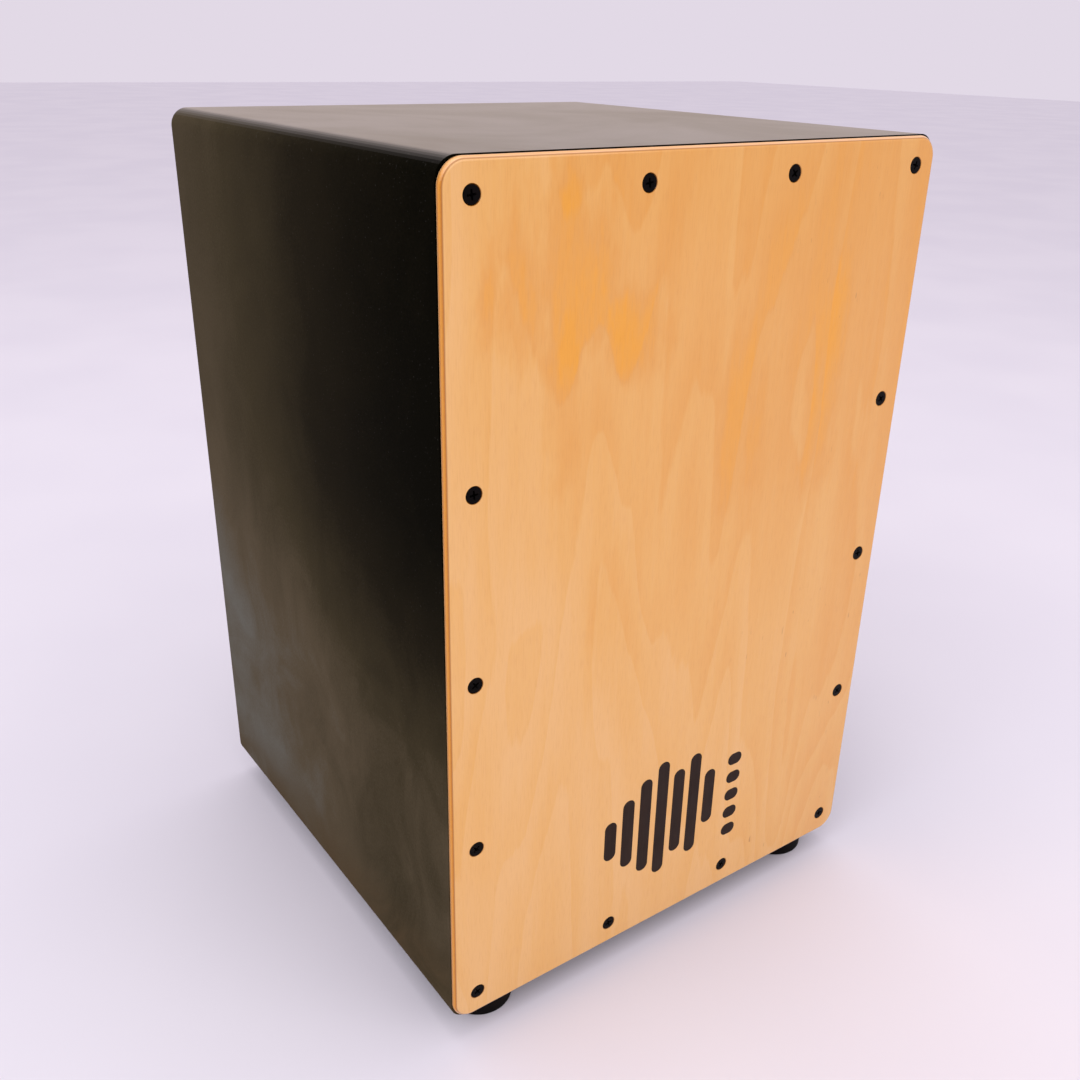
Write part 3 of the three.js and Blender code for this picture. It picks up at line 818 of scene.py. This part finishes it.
def pan_outline(head_r, head_h, shank_r, length):
    """A pan head screw's (radius, height) pairs from its tip to its head at z = 0."""
    dome = arc((head_r - 1.2 * MM, -1.2 * MM), 1.2 * MM, 0, 90, 6)
    return [(0.25 * shank_r, -length), (shank_r, 2 * shank_r - length), (shank_r, -head_h),
            (head_r, -head_h), *dome]


def feet():
    washer_low, washer_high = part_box("foot_washer_front_left")
    for corner in FEET:
        spot = over(f"foot_{corner}")
        foot = new_object(f"rubber_foot_{corner}", placed(turned(foot_profile(), 72, True), spot), [rubber])
        fit(foot, f"foot_{corner}")
        ring = ring_profile(FOOT_BORE_R, WASHER_R, washer_low.z, washer_high.z, 0.15 * MM)
        washer = new_object(f"washer_{corner}", placed(turned(ring, 48, True), spot), [bright_steel])
        fit(washer, f"foot_washer_{corner}")
    low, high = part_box("foot_screw_front_left")
    profile = pan_outline((high.x - low.x) / 2, washer_low.z - low.z, FOOT_SCREW_R, high.z - low.z)
    place_screws(
        screw_mesh("foot_screw_template", profile, 4.0 * MM),
        [f"foot_screw_{c}" for c in FEET], Matrix.Rotation(math.pi, 4, "X"),
        lambda node: (middle(node).x, middle(node).y, low.z),
    )


feet()


# ---- Snare hardware ----


def small_screws():
    """The rail's screws point up, and the guide's point down."""
    for prefix, turn in (("rail_screw", math.pi), ("guide_screw", 0.0)):
        low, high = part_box(f"{prefix}_left")
        profile = screw_outline((high.x - low.x) / 2, 0.3 * MM, 1.8 * MM, 1.5 * MM, high.z - low.z)
        head_z = low.z if turn else high.z
        place_screws(
            screw_mesh(prefix + "_template", profile, 3.6 * MM),
            [f"{prefix}_{s}" for s in ("left", "right")], Matrix.Rotation(turn, 4, "X"),
            lambda node, z=head_z: (middle(node).x, middle(node).y, z),
        )


def tuning_bolt(side):
    """A socket-headed bolt, threaded above its plain part."""
    low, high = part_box(f"tuning_bolt_{side}")
    head_r, head_top = (high.x - low.x) / 2, low.z + 6 * MM
    rim = arc((head_r - 0.5 * MM, low.z + 0.5 * MM), 0.5 * MM, -90, 0, 5)
    thread = []
    pitch, z = 1.0 * MM, head_top + 22 * MM
    while z < high.z - 2.0 * MM:
        thread += [(BOLT_R, z), (BOLT_R - 0.45 * MM, z + pitch / 2)]
        z += pitch
    profile = [*rim, (head_r, head_top), (BOLT_R, head_top), *thread, (BOLT_R - 0.8 * MM, high.z)]
    spot = over(f"tuning_bolt_{side}")
    bolt = new_object(f"hex_bolt_{side}", placed(turned(profile, 48), spot), [black_steel])
    key_r, key_depth = 2.9 * MM, 3.5 * MM
    key = turned([(key_r, low.z - MM), (key_r, low.z + key_depth)], 6)
    cut(bolt, placed(key, spot))
    fit(bolt, f"tuning_bolt_{side}", f"{side}_bolt")


def tuning_bush(side):
    """A flanged sleeve in the bottom wall, which the bolt turns in."""
    low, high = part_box(f"tuning_bush_{side}")
    bore, flange_r, ease = BOLT_R + GAP, (high.x - low.x) / 2, 0.2 * MM
    profile = [
        (bore, low.z + ease), (bore + ease, low.z), (flange_r - ease, low.z), (flange_r, low.z + ease),
        (flange_r, BOX_BOTTOM), (BUSH_SLEEVE_R, BOX_BOTTOM), (BUSH_SLEEVE_R, high.z - ease),
        (BUSH_SLEEVE_R - ease, high.z), (bore, high.z),
    ]
    bm = placed(turned(profile, 48, True), over(f"tuning_bush_{side}"))
    bush = new_object(f"steel_bush_{side}", bm, [bright_steel])
    fit(bush, f"tuning_bush_{side}")


def eased_box(low, high, ease, steps=2):
    """A box with every edge rounded."""
    bm = bmesh.new()
    size = high - low
    place = Matrix.Translation((low + high) / 2) @ Matrix.Diagonal((*size, 1.0))
    bmesh.ops.create_cube(bm, size=1.0, matrix=place)
    bmesh.ops.bevel(bm, geom=bm.edges[:], offset=ease, segments=steps, profile=0.5, affect="EDGES")
    return bm


def carriage(side):
    """The brass block that the bolt draws along, with holes for the bolt and two strings."""
    low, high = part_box(f"tuning_carriage_{side}")
    block = new_object(f"brass_carriage_{side}", eased_box(low, high, 0.3 * MM), [brass])
    tools = [hole(f"tuning_bolt_{side}", BOLT_R + GAP, low.z - MM, high.z + MM)]
    for string in (f"snare_string_{side}_outer", f"snare_string_{side}_inner"):
        tools.append(hole(string, WIRE_R + GAP, low.z - MM, high.z + MM, 24))
    cut(block, merged(tools))
    fit(block, f"tuning_carriage_{side}", f"{side}_carriage")


WIRE_R = 0.5 * MM
WIRE_BALL_R = 1.3 * MM
WIRE_RINGS = 90


def snare_string(node):
    """A wound string with a ball at each end."""
    low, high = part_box(node)
    ball = arc((0.0, low.z + WIRE_BALL_R), WIRE_BALL_R, -80, 60, 6)
    top_ball = arc((0.0, high.z - WIRE_BALL_R), WIRE_BALL_R, -60, 80, 6)
    start, end = low.z + 2 * WIRE_BALL_R, high.z - 2 * WIRE_BALL_R
    wire_part = [(WIRE_R, start + (end - start) * i / WIRE_RINGS) for i in range(WIRE_RINGS + 1)]
    bm = placed(turned([*ball, *wire_part, *top_ball], 16), over(node))
    string = new_object(node + "_wound", bm, [wire], weighted=False)
    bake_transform(string)
    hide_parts(node)


small_screws()
for side in ("left", "right"):
    tuning_bolt(side)
    tuning_bush(side)
    carriage(side)
    for place in ("outer", "inner"):
        snare_string(f"snare_string_{side}_{place}")

felt_low, felt_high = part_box("string_felt")
pad = new_object("damping_felt", eased_box(felt_low, felt_high, 0.6 * MM, 3), [felt])
fit(pad, "string_felt")

# The battens, the rail and the guide keep their CAD shape.
for node, obj in frame["nodes"].items():
    if "batten" in node or node in ("string_anchor_rail", "carriage_guide"):
        upright = "left_batten" in node or "right_batten" in node
        obj.data.materials.clear()
        obj.data.materials.append(pine_upright if upright else pine_across)


# ---- A plain printed emblem: a row of rounded bars, like a sound's level ----


INK_DEPTHS = (0.01 * MM, -0.04 * MM)
BAR_HEIGHTS = (26 * MM, 46 * MM, 64 * MM, 78 * MM, 58 * MM, 70 * MM, 38 * MM)
BAR_PITCH, BAR_WIDTH = 12.4 * MM, 8.4 * MM
BARS_X, BARS_Z = -10 * MM, 90 * MM
BLOCK_X, BLOCK_WIDTH, BLOCK_HEIGHT = 47 * MM, 11 * MM, 8 * MM
BLOCK_PLACES = range(57, 113, 13)


def printed_bar(x, z, width, height):
    """A round-ended bar of ink, a hair proud of the plate."""
    half_w, half_h = width / 2, height / 2
    outline = rounded_rect(half_w, half_h, 0.98 * min(half_w, half_h), 10)
    return loft([[(x + u, FRONT_Y + y, z + v) for u, v in outline] for y in INK_DEPTHS])


def emblem():
    """Seven bars side by side and a column of five blocks."""
    middle_bar = (len(BAR_HEIGHTS) - 1) / 2
    bars = [
        printed_bar(BARS_X + (i - middle_bar) * BAR_PITCH, BARS_Z, BAR_WIDTH, height)
        for i, height in enumerate(BAR_HEIGHTS)
    ]
    bars += [printed_bar(BLOCK_X, z * MM, BLOCK_WIDTH, BLOCK_HEIGHT) for z in BLOCK_PLACES]
    mark = new_object("printed_bars", merged(bars), [ink], weighted=False)
    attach(mark, CASING)


emblem()


# ---- Stage: floor, light and camera ----


def stage_material():
    """A pale, faintly uneven floor."""
    n = Nodes("pale_floor")
    soft = n.noise((3, 3, 3), 2.0)
    colour = n.mix(n.span(soft, 0.3, 0.7), tone(225, 221, 228), tone(221, 217, 225))
    return n.finish(Base_Color=colour, Roughness=0.9, Specular_IOR_Level=0.0)


def floor():
    bm = bmesh.new()
    bmesh.ops.create_grid(bm, x_segments=1, y_segments=1, size=12.0)
    plane = new_object("studio_floor", bm, [stage_material()], weighted=False)


def area_light(name, place, target, size, power, colour=(1.0, 1.0, 1.0)):
    data = bpy.data.lights.new(name, "AREA")
    data.shape = "RECTANGLE"
    data.size, data.size_y = size
    data.energy = power
    data.color = colour
    lamp = bpy.data.objects.new(name, data)
    lamp.location = place
    aim = Vector(target) - Vector(place)
    lamp.rotation_euler = aim.to_track_quat("-Z", "Y").to_euler()
    bpy.context.scene.collection.objects.link(lamp)


def lights():
    aim = (0.0, 0.0, MID_Z)
    area_light("key_softbox", (0.7, -2.2, 1.5), aim, (2.0, 1.6), 14.5, (1.0, 0.97, 0.93))
    area_light("left_wash", (-2.2, -0.8, 2.0), (-0.5, 0.1, 0.0), (2.2, 2.2), 25, (0.93, 0.98, 1.0))
    area_light("ceiling_lamp", (-0.1, 0.1, 2.3), aim, (1.3, 1.3), 8, (1.0, 0.98, 0.96))
    n = Nodes("studio", world=True)
    dome = n.mix(n.span(n.axis(2), 0.0, 0.7), tone(226, 217, 230), tone(247, 240, 249))
    bpy.context.scene.world = n.finish(Color=dome, Strength=1.0)


def camera():
    """The photo's viewing angle, fitted to the object's corners and screws."""
    azimuth, elevation, roll = (math.radians(a) for a in (-36.33, 24.39, 1.37))
    look = Vector((
        -math.sin(azimuth) * math.cos(elevation),
        math.cos(azimuth) * math.cos(elevation),
        -math.sin(elevation),
    ))
    data = bpy.data.cameras.new("camera")
    data.sensor_width = 36.0
    data.lens = 37.02
    data.shift_x = -0.0102
    data.shift_y = 0.0026
    data.clip_start = 0.01
    viewer = bpy.data.objects.new("camera", data)
    place = Matrix.Translation((-0.3716, -0.5290, 0.4983))
    aim = look.to_track_quat("-Z", "Y").to_matrix().to_4x4()
    viewer.matrix_world = place @ aim @ Matrix.Rotation(roll, 4, "Z")
    bpy.context.scene.collection.objects.link(viewer)
    bpy.context.scene.camera = viewer


floor()
lights()
camera()
bpy.context.scene.view_settings.view_transform = "Standard"
